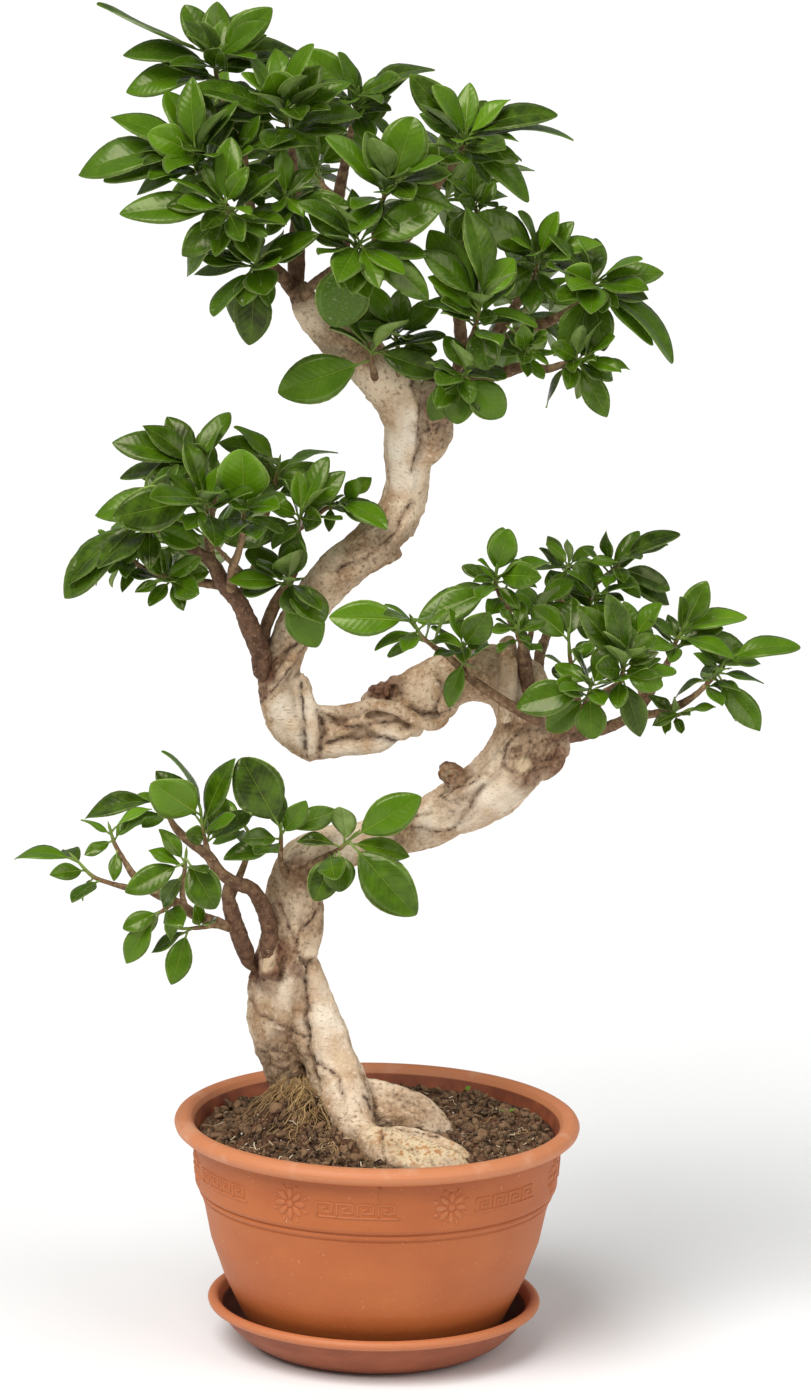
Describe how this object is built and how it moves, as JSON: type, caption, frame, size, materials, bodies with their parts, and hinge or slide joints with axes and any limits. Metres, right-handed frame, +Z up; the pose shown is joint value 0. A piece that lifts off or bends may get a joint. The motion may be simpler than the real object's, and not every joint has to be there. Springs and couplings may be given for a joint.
{
  "type": "ficus bonsai",
  "caption": "Potted bonsai fig with an S-shaped, root-fused trunk, leafy pads and surface roots, in a round terracotta-coloured bowl standing on a deep saucer.",
  "frame": {"origin": "centre of the saucer's underside", "axes": "+Z up from the saucer to the crown, +X to the right and -Y toward the viewer of the picture"},
  "size_m": [0.4732, 0.2794, 0.8326],
  "materials": {
    "saucer": "moulded matte, terracotta coloured, brown inside",
    "pot": "moulded matte, terracotta coloured, dusty",
    "soil": "dark crumbly potting soil with bark bits",
    "bark": "pale tan bark with dark cracks and cut scars",
    "leaf": "glossy dark green fig leaf with a pale midrib"
  },
  "bodies": {
    "root": {"saucer": "saucer", "pot": "pot", "soil": "soil", "trunk": "bark", "crownBackLeft": "leaf", "crownBackMid": "leaf", "crownBackRight": "leaf", "crownFrontTip": "leaf", "crownLeftHang": "leaf", "crownLeftLow": "leaf", "crownLeftMid": "leaf", "crownLeftTip": "leaf", "crownLeftTop": "leaf", "crownMidLow": "leaf", "crownMidTop": "leaf", "crownNearTip": "leaf", "crownRootTip": "leaf", "crownTop": "leaf", "lobeBack": "leaf", "lobeFrontTip": "leaf", "lobeHang": "leaf", "lobeHighTip": "leaf", "lobeLowMid": "leaf", "lobeLowTip": "leaf", "lobeMidTip": "leaf", "lobeRightTip": "leaf", "lowFar": "leaf", "lowFront": "leaf", "lowMid": "leaf", "lowRight": "leaf", "lowRightTwig": "leaf", "lowRound": "leaf", "lowStub": "leaf", "lowTop": "leaf", "lowUnder": "leaf", "lowUp": "leaf", "midBackTip": "leaf", "midFar": "leaf", "midFarRight": "leaf", "midFront": "leaf", "midHeart": "leaf", "midLeftEnd": "leaf", "midLowFront": "leaf", "midRight": "leaf", "midTop": "leaf", "midTopRight": "leaf", "midUpFront": "leaf", "neckTwig": "leaf", "neckTwigHigh": "leaf", "rightBackTip": "leaf", "rightEndTip": "leaf", "rightFarTip": "leaf", "rightFrontMid": "leaf", "rightFrontTip": "leaf", "rightHook": "leaf", "rightLowMid": "leaf", "rightLowTip": "leaf", "rightRiseMid": "leaf", "rightRiseTip": "leaf", "rightTopTip": "leaf"}
  },
  "joints": []
}
